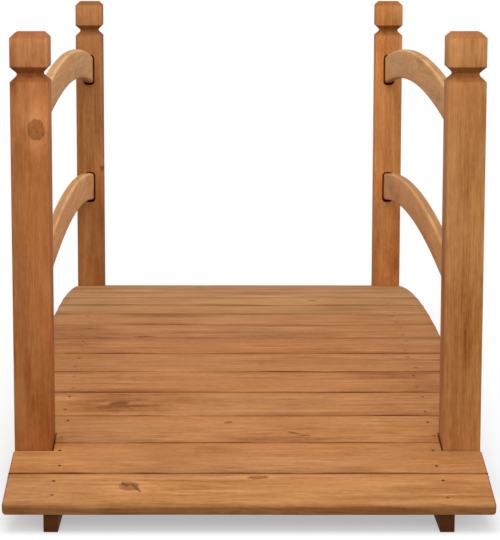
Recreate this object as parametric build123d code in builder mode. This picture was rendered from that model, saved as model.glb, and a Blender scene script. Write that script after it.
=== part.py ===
"""Arched wooden garden footbridge: a curved plank deck on two sawn stringers, four capped posts and
two arched rails a side let into blind mortises. Millimetres; Y along the bridge, Z up from the ground."""

import os
from math import asin, copysign, cos, sin, sqrt

from build123d import *

# The bridge as a whole
bridge_length = 1372.0
bridge_width = 600.0
bridge_height = 600.0

# Deck: flat planks laid side by side on an arc, the two end ones trimmed narrower
plank_count = 17
plank_thickness = 15.0
plank_gap = 1.5
end_plank_trim = 7.5
plank_edge_radius = 2.0
plank_end_chamfer = 2.5
nose_radius = 5.0
deck_end_height = 37.0
deck_rise = 82.0
plank_seat = 0.1

# Stringers: boards on edge, sawn to the deck's curve above and arched below
stringer_thickness = 18.0
stringer_setback = 6.0
stringer_foot_length = 190.0
stringer_arch_height = 41.0

# Posts: square, with a chamfered cap above a V-shaped neck
post_size = 48.0
post_inset = 156.0
post_edge_chamfer = 2.0
post_overhang = 2.0
post_notch_clearance = 2.0
cap_height = 43.0
cap_chamfer = 7.0
neck_depth = 8.0
neck_flat = 3.0

# Rails: arched boards with rounded edges, their ends let into the posts
rail_thickness = 14.0
rail_width = 48.0
rail_edge_radius = 4.5
rail_rise = 37.5
upper_rail_drop = 86.0
rail_spacing = 216.0

# Mortises: the rail ends rest on the mortise floors
tenon_length = 22.0
mortise_end_clearance = 2.0
mortise_side_clearance = 2.0
mortise_top_clearance = 2.0
mortise_seat = 0.2
mortise_corner_radius = 6.0

# Deck arc, which runs half a gap past the end planks
bridge_half = bridge_length / 2
deck_half = bridge_half + plank_gap / 2
deck_radius = (deck_half**2 + deck_rise**2) / (2 * deck_rise)
deck_centre_z = deck_end_height + deck_rise - deck_radius
end_trim_lean = end_plank_trim / deck_radius
plank_step = 2 * (asin(deck_half / deck_radius) + end_trim_lean) / plank_count
plank_width = plank_step * deck_radius - plank_gap

# Stringer lines
stringer_outer_x = bridge_width / 2 - post_overhang - post_size
stringer_x = stringer_outer_x - stringer_thickness / 2
stringer_end_y = bridge_half - stringer_setback
stringer_top_radius = deck_radius - plank_thickness - plank_seat
stringer_end_z = deck_centre_z + sqrt(stringer_top_radius**2 - stringer_end_y**2)
stringer_crown_z = deck_centre_z + stringer_top_radius
foot_y = stringer_end_y - stringer_foot_length

# Post lines
post_x = stringer_outer_x + post_size / 2
post_y = bridge_half - post_inset
mortise_face_y = post_y - post_size / 2
post_half = post_size / 2
neck_half = post_half - neck_depth
cap_bottom_z = bridge_height - cap_height
neck_top_z = cap_bottom_z - neck_depth
neck_bottom_z = neck_top_z - neck_flat
shaft_top_z = neck_bottom_z - neck_depth
post_right_side = [
    (post_half, 0),
    (post_half, shaft_top_z),
    (neck_half, neck_bottom_z),
    (neck_half, neck_top_z),
    (post_half, cap_bottom_z),
    (post_half, bridge_height - cap_chamfer),
    (post_half - cap_chamfer, bridge_height),
]
post_outline = post_right_side + [(-across, up) for across, up in reversed(post_right_side)]

# Rail arcs, the same for all four rails
rail_radius = (mortise_face_y**2 + rail_rise**2) / (2 * rail_rise)
rail_end_y = mortise_face_y + tenon_length
rail_top_radius = rail_radius + rail_width / 2
rail_bottom_radius = rail_radius - rail_width / 2
upper_rail_z = bridge_height - upper_rail_drop
lower_rail_z = upper_rail_z - rail_spacing
rail_crowns = {"upper": upper_rail_z, "lower": lower_rail_z}

# Mortise sizes, measured from a rail's crown line
mortise_width = rail_thickness + 2 * mortise_side_clearance
mortise_depth = tenon_length + mortise_end_clearance
mortise_floor_drop = rail_radius - sqrt(rail_bottom_radius**2 - rail_end_y**2) + mortise_seat
mortise_roof_drop = rail_radius - sqrt(rail_top_radius**2 - mortise_face_y**2) - mortise_top_clearance
mortise_height = mortise_floor_drop - mortise_roof_drop
mortise_mid_drop = (mortise_floor_drop + mortise_roof_drop) / 2

# Post notches in the planks
notch_y = post_size + 2 * post_notch_clearance
notch_x = post_size + 2 * post_notch_clearance + post_overhang
notch_centre_x = stringer_outer_x - post_notch_clearance + notch_x / 2
notch_reach = (notch_y + plank_width) / 2

sides = {"left": -1, "right": 1}
ends = {"front": -1, "rear": 1}

os.makedirs("parts", exist_ok=True)

for number in range(1, plank_count + 1):
    is_end = number in (1, plank_count)
    lean = (number - (plank_count + 1) / 2) * plank_step
    if is_end:
        lean -= copysign(end_trim_lean / 2, lean)
    width = plank_width - end_plank_trim if is_end else plank_width
    plank_y = deck_radius * sin(lean)
    plank_z = deck_centre_z + deck_radius * cos(lean)
    plank_plane = Plane(origin=(0, plank_y, plank_z), x_dir=(0, cos(lean), -sin(lean)), z_dir=(1, 0, 0))
    across = Axis(plank_plane.origin, plank_plane.x_dir)
    upward = Axis(plank_plane.origin, plank_plane.y_dir)
    front_radius = nose_radius if number == 1 else plank_edge_radius
    rear_radius = nose_radius if number == plank_count else plank_edge_radius
    with BuildPart() as plank:
        with BuildSketch(plank_plane):
            Rectangle(width, plank_thickness, align=(Align.CENTER, Align.MAX))
        extrude(amount=bridge_width / 2, both=True)
        chamfer(plank.faces().filter_by(Axis.X).edges().filter_by(across), length=plank_end_chamfer)
        for index, radius in ((0, front_radius), (-1, rear_radius)):
            top_face = plank.faces().sort_by(upward)[-1]
            fillet(top_face.edges().filter_by(Axis.X).sort_by(Axis.Y)[index], radius=radius)
        if abs(abs(plank_y) - post_y) < notch_reach:
            with BuildSketch(Plane.XY):
                with GridLocations(2 * notch_centre_x, 2 * post_y, 2, 2):
                    Rectangle(notch_x, notch_y)
            extrude(amount=bridge_height, mode=Mode.SUBTRACT)
    plank.part.label = f"deck_plank_{number:02d}"
    export_step(plank.part, f"parts/deck_plank_{number:02d}.step")

for side, x_sign in sides.items():
    with BuildPart() as stringer:
        with BuildSketch(Plane.YZ.offset(x_sign * stringer_x)):
            with BuildLine():
                ThreePointArc(
                    (-stringer_end_y, stringer_end_z),
                    (0, stringer_crown_z),
                    (stringer_end_y, stringer_end_z),
                )
                Polyline((stringer_end_y, stringer_end_z), (stringer_end_y, 0), (foot_y, 0))
                ThreePointArc((foot_y, 0), (0, stringer_arch_height), (-foot_y, 0))
                Polyline((-foot_y, 0), (-stringer_end_y, 0), (-stringer_end_y, stringer_end_z))
            make_face()
        extrude(amount=stringer_thickness / 2, both=True)
    stringer.part.label = f"{side}_stringer"
    export_step(stringer.part, f"parts/{side}_stringer.step")

for end, y_sign in ends.items():
    for side, x_sign in sides.items():
        place = (x_sign * post_x, y_sign * post_y, 0)
        mouth = (x_sign * post_x, y_sign * mortise_face_y, 0)
        with BuildPart() as post:
            with BuildSketch(Plane(origin=place, x_dir=(1, 0, 0), z_dir=(0, -1, 0))):
                Polygon(*post_outline, align=None)
            extrude(amount=post_half, both=True)
            with BuildSketch(Plane(origin=place, x_dir=(0, 1, 0), z_dir=(1, 0, 0))):
                Polygon(*post_outline, align=None)
            extrude(amount=post_half, both=True, mode=Mode.INTERSECT)
            with BuildSketch(Plane(origin=place)) as plan:
                Rectangle(post_size, post_size)
                chamfer(plan.vertices(), length=post_edge_chamfer)
            extrude(amount=bridge_height, mode=Mode.INTERSECT)
            with BuildSketch(Plane(origin=mouth, x_dir=(-y_sign, 0, 0), z_dir=(0, y_sign, 0))):
                with Locations(*[(0, crown_z - mortise_mid_drop) for crown_z in rail_crowns.values()]):
                    RectangleRounded(mortise_width, mortise_height, mortise_corner_radius)
            extrude(amount=mortise_depth, mode=Mode.SUBTRACT)
        post.part.label = f"{end}_{side}_post"
        export_step(post.part, f"parts/{end}_{side}_post.step")

for level, crown_z in rail_crowns.items():
    centre_z = crown_z - rail_radius
    top_end_z = centre_z + sqrt(rail_top_radius**2 - rail_end_y**2)
    bottom_end_z = centre_z + sqrt(rail_bottom_radius**2 - rail_end_y**2)
    for side, x_sign in sides.items():
        with BuildPart() as rail:
            with BuildSketch(Plane.YZ.offset(x_sign * post_x)):
                with BuildLine():
                    ThreePointArc(
                        (-rail_end_y, top_end_z),
                        (0, centre_z + rail_top_radius),
                        (rail_end_y, top_end_z),
                    )
                    Line((rail_end_y, top_end_z), (rail_end_y, bottom_end_z))
                    ThreePointArc(
                        (rail_end_y, bottom_end_z),
                        (0, centre_z + rail_bottom_radius),
                        (-rail_end_y, bottom_end_z),
                    )
                    Line((-rail_end_y, bottom_end_z), (-rail_end_y, top_end_z))
                make_face()
            extrude(amount=rail_thickness / 2, both=True)
            fillet(rail.edges().filter_by(GeomType.CIRCLE), radius=rail_edge_radius)
        rail.part.label = f"{level}_{side}_rail"
        export_step(rail.part, f"parts/{level}_{side}_rail.step")
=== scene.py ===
"""Looks of the arched garden footbridge: every board modelled again with eased, slightly uneven edges,
nails in the planks, bolts through posts and stringers, and stained fir with its rings, fibre and knots."""

import random
from math import asin, copysign, cos, pi, radians, sin, sqrt

import bpy
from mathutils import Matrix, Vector


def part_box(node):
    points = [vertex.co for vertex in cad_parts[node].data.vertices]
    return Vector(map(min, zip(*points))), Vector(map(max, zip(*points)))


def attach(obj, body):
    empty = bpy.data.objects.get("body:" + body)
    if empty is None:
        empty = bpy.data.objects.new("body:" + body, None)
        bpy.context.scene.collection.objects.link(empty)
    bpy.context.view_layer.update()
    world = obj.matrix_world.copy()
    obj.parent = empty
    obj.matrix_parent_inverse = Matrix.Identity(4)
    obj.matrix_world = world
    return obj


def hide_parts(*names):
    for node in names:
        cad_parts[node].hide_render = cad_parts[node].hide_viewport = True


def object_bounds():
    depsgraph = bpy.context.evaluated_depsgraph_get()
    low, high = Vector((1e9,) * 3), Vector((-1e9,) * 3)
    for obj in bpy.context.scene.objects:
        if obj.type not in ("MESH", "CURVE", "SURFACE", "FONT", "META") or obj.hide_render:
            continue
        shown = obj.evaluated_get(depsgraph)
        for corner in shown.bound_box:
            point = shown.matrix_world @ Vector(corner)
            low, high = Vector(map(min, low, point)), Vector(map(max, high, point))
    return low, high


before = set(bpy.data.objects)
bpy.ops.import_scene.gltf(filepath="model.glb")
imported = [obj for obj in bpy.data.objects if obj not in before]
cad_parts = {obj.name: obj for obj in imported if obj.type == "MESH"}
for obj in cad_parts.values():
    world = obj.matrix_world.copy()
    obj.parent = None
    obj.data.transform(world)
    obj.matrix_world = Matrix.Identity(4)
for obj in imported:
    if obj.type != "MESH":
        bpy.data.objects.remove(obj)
cad_low, cad_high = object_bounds()
scene = bpy.context.scene

# Deck, in metres
plank_count = 17
crown_plank_low, crown_plank_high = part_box("deck_plank_09")
plank_length = crown_plank_high.x - crown_plank_low.x
plank_width = crown_plank_high.y - crown_plank_low.y
plank_thickness = crown_plank_high.z - crown_plank_low.z
plank_gap = 0.0015
end_plank_trim = 0.0075
plank_edge_ease = 0.0016
plank_end_ease = 0.0042
nose_ease = 0.0065
bridge_half = 0.686
deck_half = bridge_half + plank_gap / 2
deck_rise = 0.082
deck_radius = (deck_half**2 + deck_rise**2) / (2 * deck_rise)
deck_centre_z = crown_plank_high.z - deck_radius
end_trim_lean = end_plank_trim / deck_radius
plank_step = 2 * (asin(deck_half / deck_radius) + end_trim_lean) / plank_count
plank_cupping = 0.0007
plank_crook = 0.0008
plank_lift = 0.0005
plank_grid = (40, 8)
end_plank_width = plank_width - end_plank_trim

# Stringers
stringer_low, stringer_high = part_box("right_stringer")
stringer_inner_x, stringer_outer_x = stringer_low.x, stringer_high.x
stringer_x = (stringer_inner_x + stringer_outer_x) / 2
stringer_thickness = stringer_outer_x - stringer_inner_x
stringer_end_y = stringer_high.y
stringer_crown_z = stringer_high.z
stringer_top_radius = stringer_crown_z - deck_centre_z
stringer_foot_length = 0.19
stringer_arch_height = 0.041
stringer_ease = 0.0012
stringer_overrun = 1.04

# Posts
post_low, post_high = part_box("rear_right_post")
post_size = post_high.x - post_low.x
post_height = post_high.z
post_x = (post_low.x + post_high.x) / 2
post_y = (post_low.y + post_high.y) / 2
post_arris_ease = 0.002
post_sanding = 0.0009
post_notch_clearance = 0.002
cap_height = 0.043
cap_chamfer = 0.007
neck_depth = 0.008
neck_flat = 0.003
cap_bottom = post_height - cap_height
neck_top = cap_bottom - neck_depth
neck_bottom = neck_top - neck_flat
shaft_top = neck_bottom - neck_depth
notch_reach = (plank_width + post_size) / 2 + post_notch_clearance

# Rails and their mortises
rail_low, rail_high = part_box("upper_right_rail")
rail_thickness = rail_high.x - rail_low.x
rail_end_y = rail_high.y
rail_width = 0.048
rail_ease = 0.0045
rail_rise = 0.0375
rail_overrun = 1.03
upper_crown_z = rail_high.z - rail_width / 2
lower_crown_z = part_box("lower_right_rail")[1].z - rail_width / 2
mortise_face_y = post_y - post_size / 2
rail_radius = (mortise_face_y**2 + rail_rise**2) / (2 * rail_rise)
mortise_clearance = 0.002
mortise_seat = 0.0002
mortise_corner = 0.006
mortise_depth = rail_end_y + mortise_clearance - mortise_face_y

# Fasteners
nail_sides = 14
nail_head_radius = 0.0021
nail_head_height = 0.0012
nail_dimple_radius = 0.0029
nail_dimple_depth = 0.0011
nail_inset = 0.018
nail_wander = 0.004
bolt_head_radius = 0.0085
bolt_head_height = 0.0042
bolt_washer_radius = 0.009
bolt_washer_thickness = 0.0012
bolt_nut_radius = 0.0058
bolt_nut_height = 0.005
bolt_shank_radius = 0.003
bolt_offset_y = 0.011
bolt_low_z, bolt_high_z = 0.016, 0.037

# Shaping: what counts as the same place, and which edges count as sharp
touching = 1e-6
merge_distance = 1e-5
sanded_angle = radians(28)
smooth_angle = radians(32)

sides = {"left": -1, "right": 1}
ends = {"front": -1, "rear": 1}
rail_levels = {"upper": upper_crown_z, "lower": lower_crown_z}
chance = random.Random(11)


def either_way(most):
    return chance.uniform(-most, most)


def mortise_levels(crown_z):
    """Floor and roof of the mortises of one rail."""
    rail_centre_z = crown_z - rail_radius
    floor_z = rail_centre_z + sqrt((rail_radius - rail_width / 2)**2 - rail_end_y**2) - mortise_seat
    roof_z = rail_centre_z + sqrt((rail_radius + rail_width / 2)**2 - mortise_face_y**2) + mortise_clearance
    return floor_z, roof_z


# Work on one piece at a time

def deselect():
    bpy.ops.object.select_all(action="DESELECT")


def take(piece):
    """Makes one piece the only selected and the active one."""
    deselect()
    piece.select_set(True)
    bpy.context.view_layer.objects.active = piece


def settle():
    """Writes the place, turn and size of the selected piece into its mesh."""
    bpy.ops.object.transform_apply(location=True, rotation=True, scale=True)


def named(name):
    """The active piece, with its name on the object and on the mesh."""
    piece = bpy.context.object
    piece.name = name
    piece.data.name = name
    return piece


def open_up(name):
    """Settles and names the primitive that was just added, and opens it for shaping."""
    settle()
    piece = named(name)
    bpy.ops.object.mode_set(mode="EDIT")
    return piece


def block(name, middle, size):
    """A block at its size and place, open for shaping."""
    deselect()
    bpy.ops.mesh.primitive_cube_add(size=1, location=middle, scale=size)
    return open_up(name)


def rod(name, corners, radius, height, middle_z):
    """An upright rod, round or with a few corners, open for shaping."""
    deselect()
    bpy.ops.mesh.primitive_cylinder_add(
        vertices=corners, radius=radius, depth=height, location=(0, 0, middle_z)
    )
    return open_up(name)


def select_mesh():
    bpy.ops.mesh.select_all(action="SELECT")


def start_picking(points=False, edges=False):
    """Leaves nothing selected, ready for points or edges to be picked by their places."""
    bpy.context.tool_settings.mesh_select_mode = (points, edges, False)
    bpy.ops.mesh.select_all(action="DESELECT")
    bpy.ops.object.mode_set(mode="OBJECT")


def ease_edges(piece, wanted, width, segments):
    """Bevels the edges whose two ends pass the test, and no others."""
    start_picking(edges=True)
    points = piece.data.vertices
    for edge in piece.data.edges:
        edge.select = wanted(*(points[corner].co for corner in edge.vertices))
    bpy.ops.object.mode_set(mode="EDIT")
    bpy.ops.mesh.bevel(offset=width, segments=segments, affect="EDGES")


def pick_points(piece, wanted):
    """Selects the corners that pass the test, and nothing else."""
    start_picking(points=True)
    for point in piece.data.vertices:
        point.select = wanted(point.co)
    bpy.ops.object.mode_set(mode="EDIT")


def same(first, second):
    return abs(first - second) < touching


def along_x(a, b):
    return same(a.y, b.y) and same(a.z, b.z)


def along_y(a, b):
    return same(a.x, b.x) and same(a.z, b.z)


def along_z(a, b):
    return same(a.x, b.x) and same(a.y, b.y)


def saw(where, facing):
    """Cuts a line round the piece without parting it."""
    select_mesh()
    bpy.ops.mesh.bisect(plane_co=where, plane_no=facing)


def saw_off(where, facing):
    """Cuts off what lies on the facing side and closes the cut."""
    select_mesh()
    bpy.ops.mesh.bisect(plane_co=where, plane_no=facing, use_fill=True, clear_outer=True)


def close_up():
    """Merges doubles, turns all faces outwards and ends the shaping."""
    select_mesh()
    bpy.ops.mesh.remove_doubles(threshold=merge_distance)
    bpy.ops.mesh.normals_make_consistent(inside=False)
    bpy.ops.object.mode_set(mode="OBJECT")


def set_in_place(piece, where, turn=(0, 0, 0)):
    """Moves and turns a piece, and writes its place into its mesh."""
    take(piece)
    piece.location = where
    piece.rotation_euler = turn
    settle()


def copy_of(piece, name):
    """A copy with its own mesh."""
    take(piece)
    bpy.ops.object.duplicate(linked=False)
    return named(name)


def join(pieces, name):
    take(pieces[0])
    for piece in pieces[1:]:
        piece.select_set(True)
    bpy.ops.object.join()
    return named(name)


def throw_away(*pieces):
    for piece in pieces:
        bpy.data.objects.remove(piece)


def finish_modifier(piece, modifier):
    take(piece)
    bpy.ops.object.modifier_apply(modifier=modifier.name)


def cut_out(piece, cutter):
    """Takes the cutter's shape out of the piece and throws the cutter away."""
    modifier = piece.modifiers.new("cut", "BOOLEAN")
    modifier.operation = "DIFFERENCE"
    modifier.solver = "EXACT"
    modifier.object = cutter
    finish_modifier(piece, modifier)
    throw_away(cutter)


def sand(piece, width):
    """Rounds every sharp edge a little."""
    modifier = piece.modifiers.new("sanding", "BEVEL")
    modifier.width = width
    modifier.segments = 2
    modifier.limit_method = "ANGLE"
    modifier.angle_limit = sanded_angle
    finish_modifier(piece, modifier)


def smooth(piece):
    take(piece)
    bpy.ops.object.shade_smooth_by_angle(angle=smooth_angle)


def uneven_stock(name, size):
    texture = bpy.data.textures.new(name, "CLOUDS")
    texture.noise_scale = size
    texture.noise_depth = 1
    return texture


def warp(piece, texture, direction, strength):
    """Bends a board gently along one axis, as drying does."""
    modifier = piece.modifiers.new("warp", "DISPLACE")
    modifier.texture = texture
    modifier.texture_coords = "LOCAL"
    modifier.direction = direction
    modifier.strength = strength
    modifier.mid_level = 0.5
    finish_modifier(piece, modifier)


def put_on_bridge(piece, node, material):
    """Gives a piece its finish and lets it ride on the bridge, in place of its solid if it has one."""
    piece.data.materials.clear()
    piece.data.materials.append(material)
    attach(piece, "root")
    if node:
        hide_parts(node)


# Finishes

def paint(red, green, blue):
    return (red, green, blue, 1.0)


# Stain: how fast red, green and blue fall as it thickens, and how they shift where it is livelier or redder
stain_depths = (0.78, 1.1, 1.65)
lively_weights = (0.75, 0.3, -0.6)
liveliness = 0.1
redder_weights = (0, 1, 1.6)
knot_red = paint(0.2, 0.055, 0.014)
split_brown = paint(0.04, 0.014, 0.006)

# Sheen and relief
gloss_level = 0.2
bump_strength = 0.4
wood_roughness = (0.8, 0.64)
wood_relief_range = (0.2, 1.0)
wood_relief_depth = 0.0004
metal_relief_depth = 0.0002
ring_relief = 0.5
fibre_relief = 0.8

# Tones as shares of the board's own: end grain, sawn sides with painted shade on the nose, crown slopes, and
# painted shade in necks, mortises and on the rails' rounded edges
end_grain_tone = 0.62
sawn_side_stain_and_shade_tone = 0.8
crown_tone = 0.52
neck_painted_shade_tone = 0.6
mortise_painted_shade_tone = 0.06
rail_edge_shade_tone = 0.58

# Strips along edges: how far inside the edge each one begins and is full; below zero is outside
arris_strip = (0.004, 0.0004)
end_grain_strip = (0.0025, 0.0003)
sawn_side_strip = (0.0006, 0.0002)
mortise_shade_strip = (-0.0012, -0.0004)
rail_edge_strip = (rail_ease, 0.001)
sanded_strip = (post_sanding, -post_sanding)
cap_strip = (neck_depth / 2, -neck_depth / 2)

# Growth: the rings, where a board lies in its log, and the step from one pattern's wood to the next
ring_spacing = 0.0031
ring_slope = 0.04
ring_density_shares = (0.7, 1.25)
latewood_rise = (0.2, 0.85)
latewood_fall = (1.0, 0.88)
log_reach = 30
pith_wander = 0.03
pith_depths = (0.03, 0.09)
drift_across = 0.009
drift_through = 0.006
log_step = (3.1, 1.7, 5.3)

# Noise in the wood: changes in a metre along and across the grain, then detail and roughness
ring_noise = (1, 60, 1)
drift_across_noise = (2.2, 9)
drift_through_noise = (3.1, 14)
fibre_noise = (14, 620, 3, 0.62)
streak_noise = (2, 58, 4, 0.62)
fine_streak_noise = (7, 150, 4, 0.66)
sharp_streak_noise = (6, 170, 2)
blotch_noise = (7, 21, 4, 0.62)
smudge_noise = (4.4, 17, 3)
dullness_noise = (3, 14, 3)
figure_noise = (3, 11, 2)
speckle_noise = (110, 190, 2, 0.6)
fleck_noise = (45, 900, 1)
knot_grit_noise = (170, 260, 3)
knot_split_noise = (90, 330, 2)
mark_noise = (28, 75, 4, 0.6)
rubbing_noise = (30, 30, 3)

# Middle of a noise, and the stretch of each one over which its pattern comes in
noise_middle = 0.5
usual_range = (0.2, 0.8)
pale_streak_range = (0.56, 0.72)
dark_streak_range = (0.4, 0.26)
smudge_range = (0.53, 0.7)
dullness_range = (0.3, 0.7)
figure_range = (0.36, 0.64)
figure_shares = (0.15, 1.35)
fleck_range = (0.66, 0.78)
knot_split_range = (0.57, 0.64)
rubbing_range = (0.35, 0.65)

# How far each pattern lightens or darkens the wood
latewood_strength = 0.24
earlywood_strength = 0.08
streak_strength = 0.15
fine_streak_strength = 1.1
sharp_streak_strength = 0.3
fibre_strength = 0.14
blotch_strength = 0.32
speckle_strength = 0.12
smudge_strength = 0.25
fleck_strength = 0.12

# Knots: the first three are the value of a pale knot and what full darkness adds to it
knot_raggedness = (0.4, 1.6)
knot_core = (0.85, -0.6)
knot_glow = (0.5, -1.2)
knot_edge = 1.1
knot_grit = 0.55
knot_rim_range = (0.72, 0.95)
knot_rim_share = 0.12
knot_split_share = 0.5
knot_disc_share = 0.4
knot_bow = 2.5 * ring_spacing
halo_shares = (0.27, 0.6)
halo_fade = (1.0, 0.25)

# Seams: painted shade on the lip along the seam and a wider painted shadow beside it; the strip, noise,
# stretch and darkest share of each, and how far their noise may shift
seam_painted_shade = ((0.0022, 0.0006), (6, 0.5, 3), (0.42, 0.6), 0.75)
seam_painted_shadow = ((0.018, 0.001), (2.6, 0.5, 3), (0.46, 0.66), 0.42)
seam_shift = 9

# Soft marks that make a board darker or lighter
mark_raggedness = 0.9
mark_fade = (1.0, 0.1)


def wire(tree, value, socket):
    if isinstance(value, bpy.types.NodeSocket):
        tree.links.new(value, socket)
    else:
        socket.default_value = value


def add_node(tree, kind, **inputs):
    node = tree.nodes.new(kind)
    for name, value in inputs.items():
        wire(tree, value, node.inputs[name.replace("_", " ")])
    return node


def add_sum(tree, kind, operation, values):
    node = tree.nodes.new(kind)
    node.operation = operation
    for socket, value in zip(node.inputs, values):
        wire(tree, value, socket)
    return node.outputs


def maths(tree, operation, *values):
    return add_sum(tree, "ShaderNodeMath", operation, values)["Value"]


def product(tree, first, *others):
    for other in others:
        first = maths(tree, "MULTIPLY", first, other)
    return first


def vectors(tree, operation, *values):
    result = "Value" if operation in ("LENGTH", "DOT_PRODUCT") else "Vector"
    return add_sum(tree, "ShaderNodeVectorMath", operation, values)[result]


def gather(tree, x=0.0, y=0.0, z=0.0):
    return add_node(tree, "ShaderNodeCombineXYZ", X=x, Y=y, Z=z).outputs["Vector"]


def span(tree, value, low, high, to_low=0.0, to_high=1.0, soft=False):
    """Carries a range of values to another, straight or with soft ends."""
    node = add_node(
        tree, "ShaderNodeMapRange", Value=value, From_Min=low, From_Max=high, To_Min=to_low, To_Max=to_high
    )
    node.interpolation_type = "SMOOTHSTEP" if soft else "LINEAR"
    return node.outputs["Result"]


def strip(tree, outward, edge, reach, to_low=0.0, to_high=1.0, soft=True):
    """Changes from one value to another over a strip along an edge."""
    begins, full = reach
    return span(tree, outward, edge - begins, edge - full, to_low, to_high, soft)


def mix_paint(tree, share, first, second, mode="MIX"):
    """Mixes two colours, whose sockets come after the node's sockets for numbers and vectors."""
    node = tree.nodes.new("ShaderNodeMix")
    node.data_type = "RGBA"
    node.blend_type = mode
    wire(tree, share, node.inputs["Factor"])
    wire(tree, first, node.inputs[6])
    wire(tree, second, node.inputs[7])
    return node.outputs[2]


def film(tree, colour, red, green, blue):
    """Lays a clear tinted film over a colour."""
    tint = add_node(tree, "ShaderNodeCombineColor", Red=red, Green=green, Blue=blue)
    return mix_paint(tree, 1.0, colour, tint.outputs["Color"], "MULTIPLY")


def shade_stain(tree, colour, tone):
    """Makes stained wood lighter or darker: more stain takes the blue light first and the red last."""
    return film(tree, colour, *(maths(tree, "POWER", tone, depth) for depth in stain_depths))


def noise(tree, where, along, across, detail=2.0, roughness=0.5):
    """Noise drawn out along the grain; along and across are how often it changes in a metre."""
    stretched = vectors(tree, "MULTIPLY", where, (along, across, across))
    node = add_node(
        tree, "ShaderNodeTexNoise", Vector=stretched, Scale=1.0, Detail=detail, Roughness=roughness
    )
    return node.outputs["Fac"]


def new_finish(name):
    """A bare material, its node tree and the coordinates of the piece that it is put on."""
    material = bpy.data.materials.new(name)
    material.use_nodes = True
    tree = material.node_tree
    tree.nodes.clear()
    return material, tree, tree.nodes.new("ShaderNodeTexCoord").outputs["Object"]


def end_finish(tree, colour, roughness, height, depth, metallic=0.0):
    bump = add_node(tree, "ShaderNodeBump", Height=height, Strength=bump_strength, Distance=depth)
    shader = add_node(
        tree, "ShaderNodeBsdfPrincipled",
        Base_Color=colour, Roughness=roughness, Metallic=metallic, Normal=bump.outputs["Normal"],
        Specular_IOR_Level=gloss_level,
    )
    add_node(tree, "ShaderNodeOutputMaterial", Surface=shader.outputs["BSDF"])


def tinted(colour, lighter, redder):
    """The same stain on another board: lighter or darker, redder or yellower."""
    return paint(*(value * lighter * (1 - weight * redder) for value, weight in zip(colour, redder_weights)))


def livelier(colour, share):
    """The same stain brighter and more orange, or duller and greyer where the share is below zero."""
    return paint(*(value * (1 + weight * share) for value, weight in zip(colour, lively_weights)))


def by_darkness(pair, darkness):
    pale, added = pair
    return pale + added * darkness


def knot_marks(tree, board, knots):
    """How far the grain bows round the knots, and how much of each spot is knot, dark split and halo."""
    bow, disc, dark, halo = 0.0, 0.0, 0.0, 0.0
    grit = span(tree, noise(tree, board, *knot_grit_noise), 0, 1, -knot_grit, knot_grit)
    split_line = span(tree, noise(tree, board, *knot_split_noise), *knot_split_range)
    halo_along, halo_across = halo_shares
    for along, across, half_length, half_width, slant, darkness in knots:
        offset = vectors(tree, "SUBTRACT", board, (along, across, 0))
        lengthwise = (cos(slant) / half_length, sin(slant) / half_length, 0)
        crosswise = (-sin(slant) / half_width, cos(slant) / half_width, 0)
        away = vectors(tree, "LENGTH", gather(
            tree, *(vectors(tree, "DOT_PRODUCT", offset, axis) for axis in (lengthwise, crosswise))
        ))
        ragged = maths(tree, "MULTIPLY_ADD", grit, by_darkness(knot_raggedness, darkness), away)
        body = span(tree, ragged, knot_edge, by_darkness(knot_core, darkness), soft=True)
        rim = product(tree, body, span(tree, ragged, *knot_rim_range, soft=True))
        split = product(tree, body, split_line)
        around = vectors(tree, "MULTIPLY", offset, (halo_along / half_length, halo_across / half_width, 0))
        glow = span(tree, vectors(tree, "LENGTH", around), *halo_fade, soft=True)
        bow = maths(tree, "MULTIPLY_ADD", glow, knot_bow, bow)
        disc = maths(tree, "MAXIMUM", disc, body)
        for spot, share in ((body, darkness), (split, knot_split_share), (rim, knot_rim_share)):
            dark = maths(tree, "MAXIMUM", dark, product(tree, spot, share))
        halo = maths(tree, "MULTIPLY_ADD", glow, by_darkness(knot_glow, darkness), halo)
    return bow, disc, dark, halo


def tone_marks(tree, board, tone, marks):
    """Soft, ragged places made darker, or lighter where the strength is below zero."""
    ragged = span(tree, noise(tree, board, *mark_noise), 0, 1, -mark_raggedness, mark_raggedness)
    for along, across, reach, spread, strength in marks:
        offset = vectors(tree, "SUBTRACT", board, (along, across, 0))
        away = vectors(tree, "LENGTH", vectors(tree, "MULTIPLY", offset, (1 / reach, 1 / spread, 0)))
        mark = span(tree, maths(tree, "ADD", away, ragged), *mark_fade, soft=True)
        tone = maths(tree, "MULTIPLY_ADD", mark, -strength, tone)
    return tone


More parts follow.
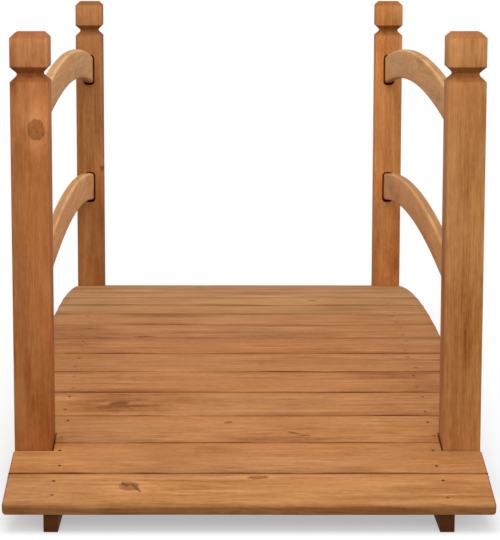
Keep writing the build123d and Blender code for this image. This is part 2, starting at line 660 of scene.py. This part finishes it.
def fir_grain(tree, board, figure, mottle, bow):
    """How light the wood is from its rings, streaks, fibre and blotches, how dull, and its relief."""
    log = (either_way(log_reach), either_way(pith_wander), chance.uniform(*pith_depths))
    wood = vectors(tree, "ADD", board, log)

    def pattern(kind, steps=0):
        """One kind of noise in the wood, moved some steps away so that no two patterns agree."""
        moved = vectors(tree, "ADD", wood, tuple(value * steps for value in log_step)) if steps else wood
        return noise(tree, moved, *kind)

    drift = gather(
        tree,
        y=span(tree, pattern(drift_across_noise), 0, 1, -drift_across, drift_across),
        z=span(tree, pattern(drift_through_noise, 1), 0, 1, -drift_through, drift_through),
    )
    radial = vectors(tree, "MULTIPLY", vectors(tree, "ADD", wood, drift), (0, 1, 1))
    sloping = vectors(tree, "DOT_PRODUCT", board, (copysign(ring_slope, log[1]), 0, 0))
    radius = maths(tree, "ADD", maths(tree, "ADD", vectors(tree, "LENGTH", radial), sloping), bow)
    densities = (share / ring_spacing for share in ring_density_shares)
    rings_in_metre = span(tree, noise(tree, radial, *ring_noise), *usual_range, *densities)
    ring = maths(tree, "FRACT", product(tree, radius, rings_in_metre))
    rising = span(tree, ring, *latewood_rise, soft=True)
    falling = span(tree, ring, *latewood_fall, soft=True)
    latewood = product(tree, rising, falling)

    fibre = pattern(fibre_noise)
    streak = pattern(streak_noise)
    fine_streak = maths(tree, "SUBTRACT", noise_middle, pattern(fine_streak_noise, 2))
    sharp_streak = pattern(sharp_streak_noise, 3)
    pale_streak = span(tree, sharp_streak, *pale_streak_range)
    dark_streak = span(tree, sharp_streak, *dark_streak_range)
    blotch = pattern(blotch_noise, 4)
    smudge = span(tree, pattern(smudge_noise, 5), *smudge_range, soft=True)
    dull = span(tree, pattern(dullness_noise, 6), *dullness_range)
    figured = span(tree, pattern(figure_noise, 7), *figure_range, *figure_shares)
    speckle = pattern(speckle_noise)
    fleck = span(tree, pattern(fleck_noise), *fleck_range)

    earlywood_tone = 1.0 + earlywood_strength * figure
    tone = maths(tree, "MULTIPLY_ADD", latewood, -latewood_strength * figure, earlywood_tone)
    for mark, strength in (
        (streak, streak_strength * figure),
        (fibre, fibre_strength),
        (blotch, blotch_strength * mottle),
        (speckle, speckle_strength),
    ):
        tone = maths(tree, "ADD", tone, span(tree, mark, *usual_range, strength, -strength))
    for mark, strength in (
        (fine_streak, fine_streak_strength * figure),
        (pale_streak, sharp_streak_strength * figure),
        (dark_streak, -sharp_streak_strength * figure),
    ):
        tone = maths(tree, "MULTIPLY_ADD", product(tree, mark, figured), strength, tone)
    for mark, strength in ((smudge, smudge_strength), (fleck, fleck_strength)):
        tone = maths(tree, "MULTIPLY_ADD", mark, -strength, tone)
    relief = maths(tree, "MULTIPLY_ADD", latewood, ring_relief, product(tree, fibre, fibre_relief))
    return tone, dull, relief


def arrises_and_end_grain(tree, along, across, through, size, bend, arris_tone, end_tone):
    """Lighter arrises along the board, rubbed in patches, that on the posts stand as a painted highlight, and
    dark end grain.
    """
    half_length, half_width, half_thickness = (side / 2 for side in size)
    if bend:
        arm = gather(tree, along, maths(tree, "ADD", across, bend))
        across = maths(tree, "SUBTRACT", vectors(tree, "LENGTH", arm), bend)
    near = [
        strip(tree, maths(tree, "ABSOLUTE", place), half, arris_strip)
        for place, half in ((across, half_width), (through, half_thickness))
    ]
    rubbed = span(tree, noise(tree, gather(tree, along, across, through), *rubbing_noise), *rubbing_range)
    arris_mask = product(tree, *near, rubbed)
    arrises = span(tree, arris_mask, 0, 1, 1.0, arris_tone)
    end_grain = strip(tree, maths(tree, "ABSOLUTE", along), half_length, end_grain_strip, 1.0, end_tone)
    return product(tree, arrises, end_grain)


def plank_sides(tree, board, across, width, seams):
    """Sawn sides darker from stain and painted shade, and painted shade and shadow where a plank lies against
    its neighbour.
    """
    edge = width / 2
    sideways = maths(tree, "ABSOLUTE", across)
    # sawn sides darker: extra stain, and painted shade on the low front face of the nose
    shade = strip(tree, sideways, edge, sawn_side_strip, 1.0, sawn_side_stain_and_shade_tone, soft=False)
    for side in seams:
        outward = product(tree, across, side)
        along_seam = vectors(tree, "ADD", board, (either_way(seam_shift), 0, 0))
        # painted shade along the seam's lip, then a wider painted shadow beside the seam, both broken by
        # noise
        for reach, kind, stretch, darkest in (seam_painted_shade, seam_painted_shadow):
            strength = span(tree, noise(tree, along_seam, *kind), *stretch, 0.0, darkest)
            dark = product(tree, strip(tree, outward, edge, reach), strength)
            shade = product(tree, shade, maths(tree, "SUBTRACT", 1.0, dark))
    return shade


def post_shades(tree, along, across, through, mortise_side, cap_tone):
    """Tones of the cap, darker crown slopes, painted shade in the drawn-in neck, and painted shade in and
    round the mortises.
    """
    up = maths(tree, "ADD", along, post_height / 2)
    cap = strip(tree, up, cap_bottom, cap_strip, 1.0, cap_tone)
    crown = strip(tree, up, post_height - cap_chamfer, sanded_strip, 1.0, crown_tone, soft=False)
    # painted shade down the drawn-in neck, from the top slope of the shaft to the cap's underside
    below_neck = strip(tree, up, shaft_top, sanded_strip, 1.0, neck_painted_shade_tone, soft=False)
    above_neck = strip(tree, up, cap_bottom, sanded_strip, neck_painted_shade_tone, 1.0, soft=False)
    neck = maths(tree, "MAXIMUM", below_neck, above_neck)
    shade = product(tree, cap, crown, neck)
    # painted shade inside the mortises and in a thin strip round their mouths, on the face that holds them
    mouth_half = rail_thickness / 2 + mortise_clearance
    sideways = maths(tree, "SUBTRACT", maths(tree, "ABSOLUTE", across), mouth_half)
    facing = maths(tree, "GREATER_THAN", product(tree, through, mortise_side), 0.0)
    for crown_z in rail_levels.values():
        floor_z, roof_z = mortise_levels(crown_z)
        straight_half = (roof_z - floor_z) / 2 - mortise_corner
        upward = maths(tree, "ABSOLUTE", maths(tree, "SUBTRACT", up, (floor_z + roof_z) / 2))
        from_corner = gather(
            tree,
            maths(tree, "MAXIMUM", maths(tree, "ADD", sideways, mortise_corner), 0.0),
            maths(tree, "MAXIMUM", maths(tree, "SUBTRACT", upward, straight_half), 0.0),
        )
        inside = strip(tree, vectors(tree, "LENGTH", from_corner), mortise_corner, mortise_shade_strip)
        mouth = product(tree, facing, inside)
        shade = product(tree, shade, span(tree, mouth, 0, 1, 1.0, mortise_painted_shade_tone))
    return shade


def rail_edges_in_painted_shade(tree, colour, through):
    """Painted shade on a rail's rounded top and bottom: a grey film that leaves them darker than its flat
    sides.
    """
    outward = maths(tree, "ABSOLUTE", through)
    level = strip(tree, outward, rail_thickness / 2, rail_edge_strip, rail_edge_shade_tone, 1.0)
    return film(tree, colour, level, level, level)


def stained_fir(
    name, stain, place, turn, size, figure, mottle, knots=(), marks=(),
    bend=0.0, arris_tone=1.0, end_tone=end_grain_tone, seams=None, shades=None, edges=None,
):
    """Fir under a brown stain, in the board's own frame: X along the grain, Y across its face, Z through it.

    stain is the board's middle colour, size its length, width and thickness, figure and mottle how strongly
    the grain and the blotches show. Each knot is (along, across, half length, half width, slant, darkness),
    each mark (along, across, reach, spread, strength). bend is the radius of an arched board, seams the sides
    that meet another plank. shades gives more tones from the place on the board, painted shade among them,
    and edges lays painted shade over the colour last.
    """
    material, tree, coordinates = new_finish(name)
    mapping = add_node(tree, "ShaderNodeMapping", Vector=coordinates, Location=place, Rotation=turn)
    mapping.vector_type = "TEXTURE"
    board = mapping.outputs["Vector"]
    parts = add_node(tree, "ShaderNodeSeparateXYZ", Vector=board).outputs
    along, across, through = parts["X"], parts["Y"], parts["Z"]
    bow, disc, dark, halo = knot_marks(tree, board, knots)
    tone, dull, relief = fir_grain(tree, board, figure, mottle, bow)
    tone = maths(tree, "MULTIPLY_ADD", halo, maths(tree, "SUBTRACT", 1.0, disc), tone)
    if marks:
        tone = tone_marks(tree, board, tone, marks)
    arris_and_end_tone = arrises_and_end_grain(tree, along, across, through, size, bend, arris_tone, end_tone)
    tone = product(tree, tone, arris_and_end_tone)
    if seams is not None:
        tone = product(tree, tone, plank_sides(tree, board, across, size[1], seams))
    if shades:
        tone = product(tree, tone, shades(tree, along, across, through))
    colour = mix_paint(tree, dull, livelier(stain, liveliness), livelier(stain, -liveliness))
    colour = mix_paint(tree, product(tree, disc, knot_disc_share), colour, knot_red)
    colour = mix_paint(tree, dark, shade_stain(tree, colour, tone), split_brown)
    if edges:
        colour = edges(tree, colour, through)
    roughness = span(tree, relief, *wood_relief_range, *wood_roughness)
    end_finish(tree, colour, roughness, maths(tree, "SUBTRACT", relief, dark), wood_relief_depth)
    return material


def dull_zinc():
    """Zinc on the bolts, mottled and gone dull."""
    dark, light, rust = paint(0.14, 0.135, 0.125), paint(0.26, 0.255, 0.24), paint(0.1, 0.05, 0.025)
    rust_share = 0.6
    spangle_range, rust_range, roughness_range = (0.3, 0.7), (0.5, 0.7), (0.38, 0.56)
    material, tree, coordinates = new_finish("dull zinc")
    spangle = noise(tree, coordinates, along=420, across=420, detail=3)
    rusty = span(tree, noise(tree, coordinates, along=90, across=90), *rust_range)
    colour = mix_paint(tree, span(tree, spangle, *spangle_range), dark, light)
    colour = mix_paint(tree, product(tree, rusty, rust_share), colour, rust)
    roughness = span(tree, spangle, *spangle_range, *roughness_range)
    end_finish(tree, colour, roughness, spangle, metal_relief_depth, metallic=1.0)
    return material


def stained_nail():
    """Nail heads under the stain: dark steel with a little rust."""
    steel, rust, stain = paint(0.035, 0.018, 0.012), paint(0.09, 0.04, 0.022), paint(0.26, 0.1, 0.035)
    rust_range, filled_range = (0.35, 0.65), (0.42, 0.58)
    pitted_range, roughness_range = (0.3, 0.7), (0.5, 0.7)
    material, tree, coordinates = new_finish("stained nail heads")
    rusty = noise(tree, coordinates, along=300, across=300, detail=3)
    filled = span(tree, noise(tree, coordinates, along=23, across=23, detail=1), *filled_range)
    colour = mix_paint(tree, span(tree, rusty, *rust_range), steel, rust)
    colour = mix_paint(tree, filled, colour, stain)
    roughness = span(tree, rusty, *pitted_range, *roughness_range)
    end_finish(tree, colour, roughness, rusty, metal_relief_depth, metallic=0.3)
    return material


# Deck

def plank_place(number):
    """Where a plank's middle lies on the walking surface, and how far it leans."""
    lean = (number - (plank_count + 1) / 2) * plank_step
    if number in (1, plank_count):
        lean -= copysign(end_trim_lean / 2, lean)
    return Vector((0, deck_radius * sin(lean), deck_centre_z + deck_radius * cos(lean))), lean


def plank_blank(name, width, front_ease, rear_ease):
    """A plank at the origin, its walking face at Z 0, ruled into a grid so that it can warp."""
    plank = block(name, (0, 0, -plank_thickness / 2), (plank_length, width, plank_thickness))
    for side, ease in ((-1, front_ease), (1, rear_ease)):
        ease_edges(
            plank, lambda a, b: along_x(a, b) and a.z > -touching and side * a.y > width / 2 - touching,
            ease, segments=4,
        )
    ease_edges(
        plank, lambda a, b: same(a.x, b.x) and abs(a.x) > plank_length / 2 - touching,
        plank_end_ease, segments=3,
    )
    columns, rows = plank_grid
    for step in range(1, columns):
        saw((plank_length * (step / columns - 0.5), 0, 0), (1, 0, 0))
    for step in range(1, rows):
        saw((0, width * (step / rows - 0.5), 0), (0, 1, 0))
    close_up()
    return plank


def nail_dimple_cutter():
    deselect()
    bpy.ops.mesh.primitive_cone_add(
        vertices=nail_sides, radius1=nail_head_radius, radius2=nail_dimple_radius,
        depth=2 * nail_dimple_depth,
    )
    return bpy.context.object


def nail_pattern():
    """One nail: a round head with a turned-over edge, set just below the wood."""
    nail = rod("nail", nail_sides, nail_head_radius, nail_head_height, -nail_dimple_depth)
    ease_edges(nail, lambda a, b: min(a.z, b.z) > -nail_dimple_depth, nail_head_height / 4, segments=2)
    close_up()
    return nail


def nail_places(width):
    """Two nails over each stringer, from the plank's middle, a little out of line."""
    return [
        Vector((
            side * stringer_x + either_way(nail_wander),
            edge * (width / 2 - nail_inset) + either_way(nail_wander),
            0,
        ))
        for side in (-1, 1)
        for edge in (-1, 1)
    ]


def nail_down(plank, width, place, turn):
    """Dimples a plank under its nails, and returns their heads where the plank will lie."""
    dimples = []
    heads = []
    for spot in nail_places(width):
        dimple = copy_of(nail_dimple, "dimple")
        set_in_place(dimple, spot)
        dimples.append(dimple)
        head = copy_of(nail, "nail head")
        set_in_place(head, spot)
        set_in_place(head, place, turn)
        heads.append(head)
    cut_out(plank, join(dimples, "dimples"))
    return heads


def post_notch_cutter():
    """A block that clears the planks round one post, with the post's middle at the origin."""
    depth = plank_length / 2 - stringer_outer_x + post_notch_clearance
    size = (2 * depth, post_size + 2 * post_notch_clearance, post_height)
    notch = block("post notch", (plank_length / 2 - post_x, 0, 0), size)
    close_up()
    return notch


def notch_round_posts(plank, post_row_y):
    for x_sign in sides.values():
        notch = copy_of(post_notch, "notch")
        set_in_place(notch, (x_sign * post_x, post_row_y, 0), (0, 0, 0 if x_sign > 0 else pi))
        cut_out(plank, notch)


# Stringers, rails and posts

def spun_board(name, width, thickness, corner, radius, centre_z, reach, steps):
    """A board's section spun along an arc about a centre below the board."""
    deselect()
    middle = (0, 0, centre_z + radius)
    bpy.ops.mesh.primitive_plane_add(size=width, location=middle, rotation=(pi / 2, 0, 0))
    board = open_up(name)
    bpy.ops.transform.resize(value=(thickness / width, 1, 1), center_override=middle)
    if corner:
        bpy.ops.mesh.bevel(offset=corner, segments=5, affect="VERTICES")
    select_mesh()
    centre = (0, 0, centre_z)
    bpy.ops.transform.rotate(value=-reach, orient_axis="X", orient_type="GLOBAL", center_override=centre)
    bpy.ops.mesh.spin(steps=steps, angle=2 * reach, center=centre, axis=(1, 0, 0))
    return board


def stringer_pattern():
    """One stringer at X 0: sawn to the deck's arc, square at its ends, with an arch between flat feet."""
    reach = asin(stringer_end_y / stringer_top_radius) * stringer_overrun
    depth = stringer_crown_z
    board = spun_board(
        "stringer", depth, stringer_thickness, corner=0, radius=stringer_top_radius - depth / 2,
        centre_z=deck_centre_z, reach=reach, steps=96,
    )
    for y_sign in ends.values():
        saw_off((0, y_sign * stringer_end_y, 0), (0, y_sign, 0))
    saw_off((0, 0, 0), (0, 0, -1))
    close_up()
    half_span = stringer_end_y - stringer_foot_length
    arch_radius = (half_span**2 + stringer_arch_height**2) / (2 * stringer_arch_height)
    deselect()
    bpy.ops.mesh.primitive_cylinder_add(
        vertices=720, radius=arch_radius, depth=3 * stringer_thickness,
        location=(0, 0, stringer_arch_height - arch_radius), rotation=(0, pi / 2, 0),
    )
    cut_out(board, bpy.context.object)
    bpy.ops.object.mode_set(mode="EDIT")
    close_up()
    sand(board, stringer_ease)
    smooth(board)
    return board


def rail_pattern():
    """One rail with its crown at the origin: rounded on its edges, arched, sawn off upright at both ends."""
    reach = asin(rail_end_y / rail_radius) * rail_overrun
    rail = spun_board(
        "rail", rail_width, rail_thickness, corner=rail_ease, radius=rail_radius,
        centre_z=-rail_radius, reach=reach, steps=72,
    )
    for y_sign in ends.values():
        saw_off((0, y_sign * rail_end_y, 0), (0, y_sign, 0))
    close_up()
    smooth(rail)
    return rail


def mortise_cutter(crown_z):
    """A rounded block that leaves the rail its play, with its floor just under the rail's end."""
    floor_z, roof_z = mortise_levels(crown_z)
    size = (rail_thickness + 2 * mortise_clearance, 2 * mortise_depth, roof_z - floor_z)
    mortise = block("mortise", (0, -post_size / 2, (roof_z + floor_z) / 2), size)
    ease_edges(mortise, along_y, mortise_corner, segments=5)
    close_up()
    return mortise


def post_pattern():
    """One post at the origin: chamfered cap, neck drawn in, eased arrises, two mortises in its -Y face."""
    post = block("post", (0, 0, post_height / 2), (post_size, post_size, post_height))
    ease_edges(post, lambda a, b: min(a.z, b.z) > post_height - touching, cap_chamfer, segments=1)
    ease_edges(post, along_z, post_arris_ease, segments=3)
    for level in (shaft_top, neck_bottom, neck_top, cap_bottom):
        saw((0, 0, level), (0, 0, 1))
    pick_points(post, lambda p: neck_bottom - touching < p.z < neck_top + touching)
    drawn_in = 1 - 2 * neck_depth / post_size
    bpy.ops.transform.resize(value=(drawn_in, drawn_in, 1), center_override=(0, 0, neck_top))
    close_up()
    for crown_z in rail_levels.values():
        cut_out(post, mortise_cutter(crown_z))
    sand(post, post_sanding)
    smooth(post)
    return post


def bolt_pattern():
    """One bolt at the origin: domed head on the post, shank through both boards, washer and nut inside."""
    inside = stringer_inner_x - post_x - post_size / 2
    shank_length = bolt_washer_thickness + 2 * bolt_nut_height - inside
    deselect()
    bpy.ops.mesh.primitive_uv_sphere_add(segments=24, ring_count=12, radius=bolt_head_radius)
    head = open_up("bolt head")
    bpy.ops.transform.resize(value=(1, 1, bolt_head_height / bolt_head_radius), center_override=(0, 0, 0))
    saw_off((0, 0, 0), (0, 0, -1))
    close_up()
    turned = [head]
    for name, corners, radius, height, top in (
        ("bolt shank", 16, bolt_shank_radius, shank_length, 0.0),
        ("bolt washer", 24, bolt_washer_radius, bolt_washer_thickness, inside),
        ("bolt nut", 6, bolt_nut_radius, bolt_nut_height, inside - bolt_washer_thickness),
    ):
        middle = top - height / 2
        piece = rod(name, corners, radius, height, middle)
        ease_edges(piece, lambda a, b: max(a.z, b.z) < middle, min(radius, height) / 4, segments=2)
        close_up()
        turned.append(piece)
    bolt = join(turned, "bolt")
    smooth(bolt)
    return bolt


# Stain of each kind of board, and how strongly its grain and its blotches show
deck_stain = paint(0.443, 0.18, 0.056)
deck_grain = (0.85, 0.6)
stringer_stain = paint(0.22, 0.078, 0.01)
stringer_grain = (0.8, 0.8)
post_stain = paint(0.46, 0.16, 0.043)
post_grain = (0.6, 1.0)
rail_stain = paint(0.735, 0.376, 0.143)
rail_grain = (0.5, 0.45)

# How far boards of one kind differ from each other
plank_lightness = (0.92, 1.02)
plank_redness = 0.03
plank_twist = 1.2
stringer_lightness = (0.95, 1.05)

# Ends and arrises that differ from the usual: stringer feet darker still as painted shade, post ends less
# dark, and a painted highlight on the posts' arrises
stringer_foot_shade_tone = 0.3
post_end_tone = 0.85
post_arris_highlight_tone = 1.16

# Turns of a board's own frame: on edge along the bridge, and upright
on_edge = (pi / 2, 0, pi / 2)
upright = (pi / 2, -pi / 2, 0)

# Planks from other logs, and planks 10 to 13 paler and yellower as a painted sheen on the far deck: how much
# lighter and redder than the rest
plank_tints_and_sheen = {
    1: (0.95, -0.05),
    7: (0.97, 0.05),
    10: (0.95, -0.13),
    11: (0.98, -0.14),
    12: (1.03, -0.15),
    13: (1.04, -0.16),
}

# Knots on the planks, from the middle of the plank
plank_knots = {
    1: [
        (-0.147, 0.006, 0.013, 0.012, 0.0, 0.14),
        (-0.1525, 0.01, 0.0085, 0.0032, -0.9, 0.6),
        (-0.139, 0.003, 0.0135, 0.003, -1.05, 0.6),
        (0.012, 0.027, 0.014, 0.005, 0.1, 0.22),
    ],
    3: [
        (0.06, -0.012, 0.01, 0.003, -0.4, 0.42),
        (0.075, -0.019, 0.008, 0.0024, -0.1, 0.36),
        (-0.024, 0.02, 0.007, 0.003, 0.3, 0.4),
    ],
    4: [(-0.172, 0.002, 0.015, 0.006, 0.2, 0.22)],
    8: [(-0.15, -0.034, 0.018, 0.005, 0.1, 0.4)],
    11: [(0.12, 0.01, 0.01, 0.007, 0.0, 0.25)],
    14: [(-0.07, -0.012, 0.011, 0.008, 0.1, 0.2)],
    16: [(0.17, 0.014, 0.011, 0.009, 0.0, 0.25)],
}

# Places where the stain lies thicker, from the middle of the plank
plank_marks = {
    1: [(-0.155, -0.034, 0.04, 0.012, 0.28)],
    4: [(-0.175, 0.0, 0.075, 0.045, 0.34)],
    10: [(0.16, 0.0, 0.08, 0.04, 0.22)],
    13: [(-0.1, 0.01, 0.07, 0.035, 0.24)],
}

# Posts and rails: how much lighter and redder than their stain, and the tones of the posts' caps
post_tints = {
    "front_left": (1.0, 0.03),
    "front_right": (1.12, -0.19),
    "rear_left": (0.94, -0.12),
    "rear_right": (1.36, -0.18),
}
cap_tones = {"front_left": 1.46, "front_right": 1.17, "rear_left": 1.2, "rear_right": 1.03}
rail_tints = {
    "upper_left": (1.02, -0.05),
    "upper_right": (1.01, -0.04),
    "lower_left": (1.02, 0.0),
    "lower_right": (0.92, 0.05),
}

# Knots on the posts, and places where a post is made darker or lighter, from the ground
post_knots = {
    "front_left": [(0.4785, -0.0085, 0.0135, 0.011, 0.1, 0.0)],
    "rear_left": [(0.294, -0.0225, 0.006, 0.0035, 0.3, 0.35)],
}
post_marks = {
    "front_left": [(0.505, 0.0, 0.065, 0.05, -0.42)],
    "front_right": [(0.51, 0.0, 0.07, 0.05, 0.17), (0.315, 0.0, 0.08, 0.05, -0.14)],
    "rear_right": [(0.53, 0.0, 0.06, 0.05, 0.2), (0.12, 0.0, 0.12, 0.05, 0.24)],
}

# The deck
cupped = uneven_stock("cupped planks", size=0.16)
crooked = [uneven_stock("crooked even planks", size=0.13), uneven_stock("crooked odd planks", size=0.21)]
plain_plank = plank_blank("plain plank", plank_width, plank_edge_ease, plank_edge_ease)
nosed_plank = plank_blank("nosed plank", end_plank_width, nose_ease, plank_edge_ease)
post_notch = post_notch_cutter()
nail = nail_pattern()
nail_dimple = nail_dimple_cutter()
nails = []
for number in range(1, plank_count + 1):
    place, lean = plank_place(number)
    turn = (-lean, 0, 0)
    up = Vector((0, sin(lean), cos(lean)))
    open_side = {1: -1, plank_count: 1}.get(number)
    width = end_plank_width if open_side else plank_width
    plank = copy_of(nosed_plank if open_side else plain_plank, f"plank_{number:02d}")
    if open_side == 1:
        set_in_place(plank, (0, 0, 0), (0, 0, pi))
    lifted = place + up * chance.uniform(0, plank_lift)
    nails += nail_down(plank, width, lifted, turn)
    set_in_place(plank, lifted, turn)
    warp(plank, cupped, "Z", plank_cupping)
    warp(plank, crooked[number % 2], "Y", plank_crook)
    if abs(abs(place.y) - post_y) < notch_reach:
        notch_round_posts(plank, copysign(post_y, place.y))
    smooth(plank)
    lighter, redder = plank_tints_and_sheen.get(number, (1.0, 0.0))
    lighter *= chance.uniform(*plank_lightness)
    redder += either_way(plank_redness)
    twist = radians(either_way(plank_twist))
    fir = stained_fir(
        f"deck fir {number:02d}", tinted(deck_stain, lighter, redder),
        lifted - up * plank_thickness / 2, (-lean, twist, 0), (plank_length, width, plank_thickness),
        *deck_grain, plank_knots.get(number, ()), plank_marks.get(number, ()),
        seams=[side for side in (-1, 1) if side != open_side],
    )
    put_on_bridge(plank, f"deck_plank_{number:02d}", fir)
throw_away(plain_plank, nosed_plank, post_notch, nail, nail_dimple)
deck_nails = join(nails, "deck_nails")
smooth(deck_nails)
put_on_bridge(deck_nails, None, stained_nail())

# The stringers
stringer = stringer_pattern()
for side, x_sign in sides.items():
    board = copy_of(stringer, f"{side}_stringer_board")
    set_in_place(board, (x_sign * stringer_x, 0, 0))
    # the stringers' end grain is darkened well past the usual, as painted shade on the feet
    fir = stained_fir(
        f"{side} stringer fir", tinted(stringer_stain, chance.uniform(*stringer_lightness), 0.0),
        (x_sign * stringer_x, 0, stringer_crown_z / 2), on_edge,
        (2 * stringer_end_y, 2 * stringer_crown_z, stringer_thickness),
        *stringer_grain, end_tone=stringer_foot_shade_tone,
    )
    put_on_bridge(board, f"{side}_stringer", fir)
throw_away(stringer)


# The posts and their bolts

def from_post_middle(places):
    return [(up - post_height / 2, *rest) for up, *rest in places]


post = post_pattern()
bolt = bolt_pattern()
bolts = []
for end, y_sign in ends.items():
    for side, x_sign in sides.items():
        corner = f"{end}_{side}"
        place = Vector((x_sign * post_x, y_sign * post_y, 0))
        board = copy_of(post, f"{corner}_post_board")
        set_in_place(board, place, (0, 0, 0 if y_sign > 0 else pi))
        knots = from_post_middle(post_knots.get(corner, ()))
        marks = from_post_middle(post_marks.get(corner, ()))
        fir = stained_fir(
            f"{end} {side} post fir", tinted(post_stain, *post_tints[corner]),
            place + Vector((0, 0, post_height / 2)), upright, (post_height, post_size, post_size),
            *post_grain, knots, marks, arris_tone=post_arris_highlight_tone, end_tone=post_end_tone,
            shades=lambda *axes: post_shades(*axes, y_sign, cap_tones[corner]),
        )
        put_on_bridge(board, f"{corner}_post", fir)
        for offset_y, height in ((-bolt_offset_y, bolt_high_z), (bolt_offset_y, bolt_low_z)):
            twin = copy_of(bolt, "post bolt")
            where = (x_sign * (post_x + post_size / 2), y_sign * (post_y + offset_y), height)
            set_in_place(twin, where, (0, x_sign * pi / 2, 0))
            bolts.append(twin)
throw_away(post, bolt)
put_on_bridge(join(bolts, "post_bolts"), None, dull_zinc())

# The rails
rail = rail_pattern()
for level, crown_z in rail_levels.items():
    for side, x_sign in sides.items():
        run = f"{level}_{side}"
        place = (x_sign * post_x, 0, crown_z)
        board = copy_of(rail, f"{run}_rail_board")
        set_in_place(board, place)
        # edges lays painted shade on the rails' rounded tops and bottoms
        fir = stained_fir(
            f"{level} {side} rail fir", tinted(rail_stain, *rail_tints[run]), place, on_edge,
            (2 * rail_end_y, rail_width, rail_thickness), *rail_grain,
            bend=rail_radius, edges=rail_edges_in_painted_shade,
        )
        put_on_bridge(board, f"{run}_rail", fir)
throw_away(rail)

# Floor: pale paint with the bridge's shadow close to it, plain white further off
white = paint(1, 1, 1)
floor_size = 60.0
floor_paint = paint(0.95, 0.95, 0.95)
floor_bounce = paint(0.13, 0.13, 0.13)
shadow_reach = 0.14
least_white_share = 0.42


def seen_by(tree, *rays):
    path = tree.nodes.new("ShaderNodeLightPath").outputs
    return maths(tree, "MAXIMUM", *(path[ray] for ray in rays))


def mix_shaders(tree, share, first, second):
    node = tree.nodes.new("ShaderNodeMixShader")
    for socket, value in zip(node.inputs, (share, first, second)):
        tree.links.new(value, socket)
    return node.outputs["Shader"]


def pale_floor():
    """Pale where it is seen, and dull where it only throws light back on the bridge."""
    material, tree, coordinates = new_finish("pale floor")
    beyond = vectors(tree, "SUBTRACT", vectors(tree, "ABSOLUTE", coordinates), (cad_high.x, cad_high.y, 0))
    away = vectors(tree, "LENGTH", vectors(tree, "MAXIMUM", beyond, (0, 0, 0)))
    far = span(tree, away, 0.0, shadow_reach, least_white_share, 1.0, soft=True)
    seen = seen_by(tree, "Is Camera Ray", "Is Glossy Ray")
    pale = add_node(tree, "ShaderNodeBsdfDiffuse", Color=floor_paint).outputs["BSDF"]
    dull = add_node(tree, "ShaderNodeBsdfDiffuse", Color=floor_bounce).outputs["BSDF"]
    glow = add_node(tree, "ShaderNodeEmission", Color=white, Strength=1.0).outputs["Emission"]
    surface = mix_shaders(tree, seen, dull, mix_shaders(tree, far, pale, glow))
    add_node(tree, "ShaderNodeOutputMaterial", Surface=surface)
    return material


deselect()
bpy.ops.mesh.primitive_plane_add(size=floor_size)
floor = bpy.context.object
floor.name = "floor"
floor.data.materials.append(pale_floor())


# Studio light: a white room, a large lamp overhead and a weaker one above the camera

def white_room(ambient):
    """A world that is seen as plain white, and lights the bridge at the ambient strength."""
    world = bpy.data.worlds.new("white room")
    scene.world = world
    world.use_nodes = True
    tree = world.node_tree
    tree.nodes.clear()
    seen = seen_by(tree, "Is Camera Ray", "Is Transmission Ray")
    strength = span(tree, seen, 0, 1, ambient, 1.0)
    background = add_node(tree, "ShaderNodeBackground", Color=white, Strength=strength)
    add_node(tree, "ShaderNodeOutputWorld", Surface=background.outputs["Background"])


def link_holder(name, data):
    holder = bpy.data.objects.new(name, data)
    scene.collection.objects.link(holder)
    return holder


def soft_lamp(name, where, aim, size, power):
    lamp = bpy.data.lights.new(name, "AREA")
    lamp.shape = "DISK"
    lamp.size = size
    lamp.energy = power
    holder = link_holder(name, lamp)
    holder.location = where
    holder.rotation_euler = (Vector(aim) - Vector(where)).to_track_quat("-Z", "Y").to_euler()


white_room(ambient=0.68)
soft_lamp("overhead lamp", where=(-0.2, -0.9, 3.2), aim=(0, 0, 0.1), size=2.6, power=53)
soft_lamp("camera lamp", where=(0.25, -3.4, 1.9), aim=(0, 0, 0.4), size=1.6, power=30)

# Camera at the photograph's place, before the near end and looking a little down along the deck
camera_dip = 7.09
optics = bpy.data.cameras.new("camera")
optics.lens = 121.8
optics.sensor_width = 36.0
optics.shift_x = 0.0574
optics.shift_y = -0.2
camera = link_holder("camera", optics)
camera.location = (-0.0365, -2.828, 0.7209)
camera.rotation_euler = (radians(90 - camera_dip), 0, 0)
scene.camera = camera

scene.view_settings.view_transform = "Standard"
